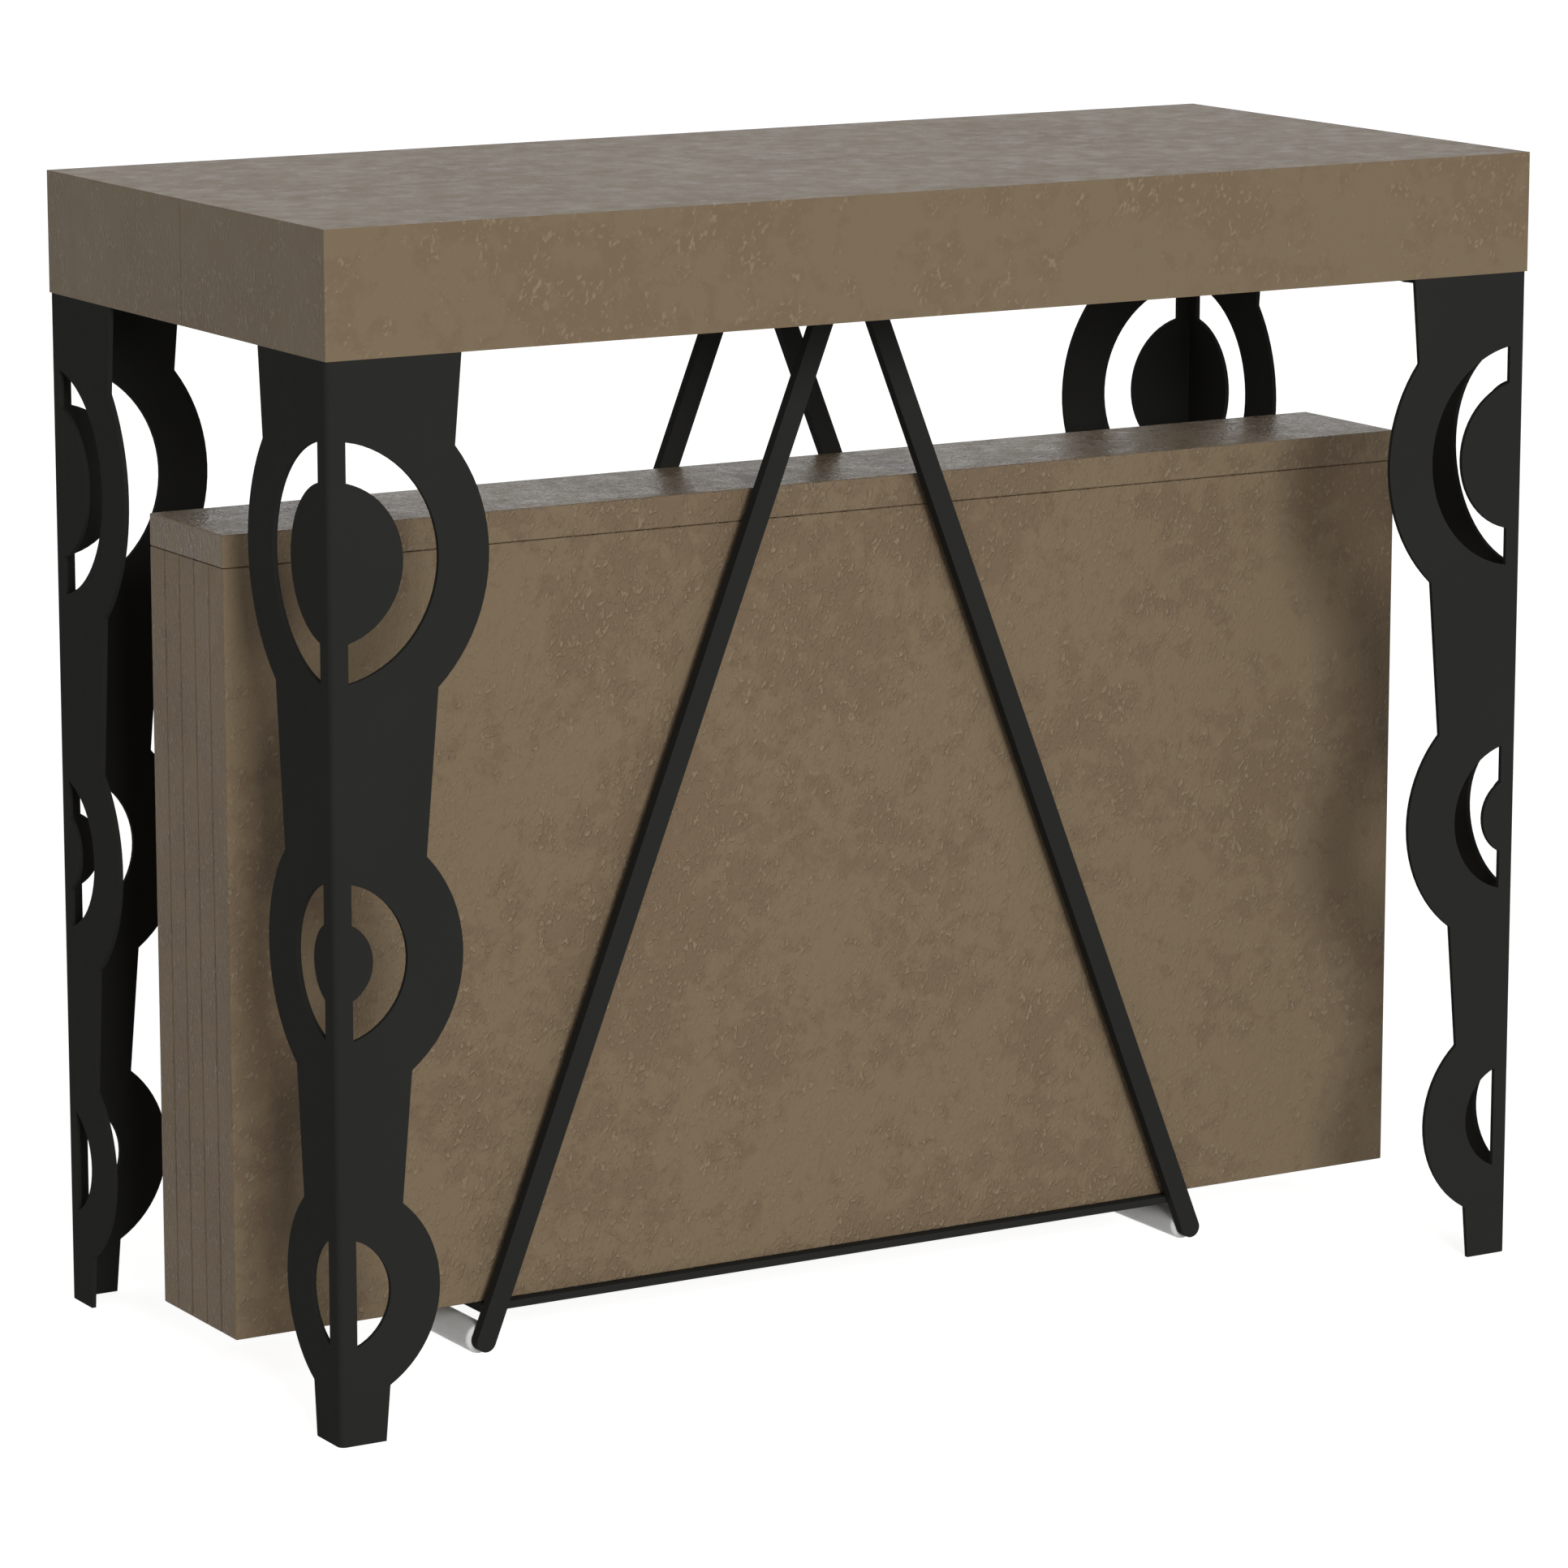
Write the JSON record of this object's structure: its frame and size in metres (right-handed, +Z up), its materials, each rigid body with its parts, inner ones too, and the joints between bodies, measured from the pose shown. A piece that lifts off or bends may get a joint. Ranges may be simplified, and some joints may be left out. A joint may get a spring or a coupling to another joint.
{
  "type": "extending console table",
  "caption": "Console table whose halves draw apart on telescopic rails, with ringed sheet-steel legs and a wheeled rack of spare leaves stored under the top.",
  "frame": {"origin": "on the floor, under the middle of the closed table top", "axes": "+X along the width to the right, +Y to the rear, +Z up; the front half draws out along -Y"},
  "size_m": [0.9, 0.4, 0.76],
  "materials": {
    "board_laminate": "semi-gloss mottled laminate",
    "block_wood": "sawn softwood",
    "black_steel": "matt black powder coat",
    "rail_aluminium": "extruded, natural anodised",
    "slider_nylon": "moulded nylon",
    "roller_plastic": "moulded white plastic",
    "axle_steel": "drawn steel rod",
    "screw_zinc": "zinc plated"
  },
  "bodies": {
    "rear_half": {"top_panel_rear": "board_laminate", "apron_rear": "board_laminate", "apron_rear_left": "board_laminate", "apron_rear_right": "board_laminate", "corner_blocks_rear": "block_wood", "leg_rear_left": "black_steel", "leg_rear_right": "black_steel", "leg_screws_rear": "screw_zinc", "rail_screws_rear": "screw_zinc", "rails_stage_00": "rail_aluminium", "sliders_stage_00": "slider_nylon"},
    "front_half": {"top_panel_front": "board_laminate", "apron_front": "board_laminate", "apron_front_left": "board_laminate", "apron_front_right": "board_laminate", "corner_blocks_front": "block_wood", "leg_front_left": "black_steel", "leg_front_right": "black_steel", "leg_screws_front": "screw_zinc", "rail_screws_front": "screw_zinc", "rails_stage_10": "rail_aluminium"},
    "stage_01": {"rails_stage_01": "rail_aluminium", "sliders_stage_01": "slider_nylon"},
    "stage_02": {"rails_stage_02": "rail_aluminium", "sliders_stage_02": "slider_nylon"},
    "stage_03": {"rails_stage_03": "rail_aluminium", "sliders_stage_03": "slider_nylon"},
    "stage_04": {"rails_stage_04": "rail_aluminium", "sliders_stage_04": "slider_nylon"},
    "stage_05": {"rails_stage_05": "rail_aluminium", "sliders_stage_05": "slider_nylon"},
    "stage_06": {"rails_stage_06": "rail_aluminium", "sliders_stage_06": "slider_nylon"},
    "stage_07": {"rails_stage_07": "rail_aluminium", "sliders_stage_07": "slider_nylon"},
    "stage_08": {"rails_stage_08": "rail_aluminium", "sliders_stage_08": "slider_nylon"},
    "stage_09": {"rails_stage_09": "rail_aluminium", "sliders_stage_09": "slider_nylon"},
    "rack": {"rack_bar_front_left": "black_steel", "rack_bar_front_right": "black_steel", "rack_bar_rear_left": "black_steel", "rack_bar_rear_right": "black_steel", "tray_bar_front": "black_steel", "tray_bar_rear": "black_steel", "tray_bar_left": "black_steel", "tray_bar_right": "black_steel", "rack_head_plate": "black_steel", "axle_left": "axle_steel", "axle_right": "axle_steel"},
    "roller_left": {"roller_left": "roller_plastic"},
    "roller_right": {"roller_right": "roller_plastic"},
    "leaf_1": {"leaf_1": "board_laminate"},
    "leaf_2": {"leaf_2": "board_laminate"},
    "leaf_3": {"leaf_3": "board_laminate"},
    "leaf_4": {"leaf_4": "board_laminate"},
    "leaf_5": {"leaf_5": "board_laminate"},
    "leaf_cover": {"leaf_cover": "board_laminate"}
  },
  "joints": [
    {"name": "front_half_draw", "type": "slide", "parent": "rear_half", "child": "front_half", "axis": [0, -1, 0], "range_m": [0, 2.5]},
    {"name": "stage_01_draw", "type": "slide", "parent": "rear_half", "child": "stage_01", "axis": [0, -1, 0], "range_m": [0, 0.25]},
    {"name": "stage_02_draw", "type": "slide", "parent": "rear_half", "child": "stage_02", "axis": [0, -1, 0], "range_m": [0, 0.5]},
    {"name": "stage_03_draw", "type": "slide", "parent": "rear_half", "child": "stage_03", "axis": [0, -1, 0], "range_m": [0, 0.75]},
    {"name": "stage_04_draw", "type": "slide", "parent": "rear_half", "child": "stage_04", "axis": [0, -1, 0], "range_m": [0, 1]},
    {"name": "stage_05_draw", "type": "slide", "parent": "rear_half", "child": "stage_05", "axis": [0, -1, 0], "range_m": [0, 1.25]},
    {"name": "stage_06_draw", "type": "slide", "parent": "rear_half", "child": "stage_06", "axis": [0, -1, 0], "range_m": [0, 1.5]},
    {"name": "stage_07_draw", "type": "slide", "parent": "rear_half", "child": "stage_07", "axis": [0, -1, 0], "range_m": [0, 1.75]},
    {"name": "stage_08_draw", "type": "slide", "parent": "rear_half", "child": "stage_08", "axis": [0, -1, 0], "range_m": [0, 2]},
    {"name": "stage_09_draw", "type": "slide", "parent": "rear_half", "child": "stage_09", "axis": [0, -1, 0], "range_m": [0, 2.25]},
    {"name": "rack_roll", "type": "slide", "parent": "rear_half", "child": "rack", "axis": [1, 0, 0], "range_m": [-0.95, 0.95]},
    {"name": "roller_left_turn", "type": "hinge", "parent": "rack", "child": "roller_left", "pos_m": [-0.277, 0, 0.01], "axis": [0, 1, 0], "continuous": true},
    {"name": "roller_right_turn", "type": "hinge", "parent": "rack", "child": "roller_right", "pos_m": [0.277, 0, 0.01], "axis": [0, 1, 0], "continuous": true},
    {"name": "leaf_1_draw", "type": "slide", "parent": "rack", "child": "leaf_1", "axis": [1, 0, 0], "range_m": [-0.75, 0.75]},
    {"name": "leaf_2_draw", "type": "slide", "parent": "rack", "child": "leaf_2", "axis": [1, 0, 0], "range_m": [-0.75, 0.75]},
    {"name": "leaf_3_draw", "type": "slide", "parent": "rack", "child": "leaf_3", "axis": [1, 0, 0], "range_m": [-0.75, 0.75]},
    {"name": "leaf_4_draw", "type": "slide", "parent": "rack", "child": "leaf_4", "axis": [1, 0, 0], "range_m": [-0.75, 0.75]},
    {"name": "leaf_5_draw", "type": "slide", "parent": "rack", "child": "leaf_5", "axis": [1, 0, 0], "range_m": [-0.75, 0.75]},
    {"name": "cover_lift", "type": "slide", "parent": "rack", "child": "leaf_cover", "axis": [0, 0, 1], "range_m": [0, 0.1]}
  ],
  "couplings": [
    {"joint": "stage_01_draw", "follows": "front_half_draw", "ratio": 0.1},
    {"joint": "stage_02_draw", "follows": "front_half_draw", "ratio": 0.2},
    {"joint": "stage_03_draw", "follows": "front_half_draw", "ratio": 0.3},
    {"joint": "stage_04_draw", "follows": "front_half_draw", "ratio": 0.4},
    {"joint": "stage_05_draw", "follows": "front_half_draw", "ratio": 0.5},
    {"joint": "stage_06_draw", "follows": "front_half_draw", "ratio": 0.6},
    {"joint": "stage_07_draw", "follows": "front_half_draw", "ratio": 0.7},
    {"joint": "stage_08_draw", "follows": "front_half_draw", "ratio": 0.8},
    {"joint": "stage_09_draw", "follows": "front_half_draw", "ratio": 0.9},
    {"joint": "roller_left_turn", "follows": "rack_roll", "rad_per_m": 100},
    {"joint": "roller_right_turn", "follows": "rack_roll", "rad_per_m": 100}
  ]
}
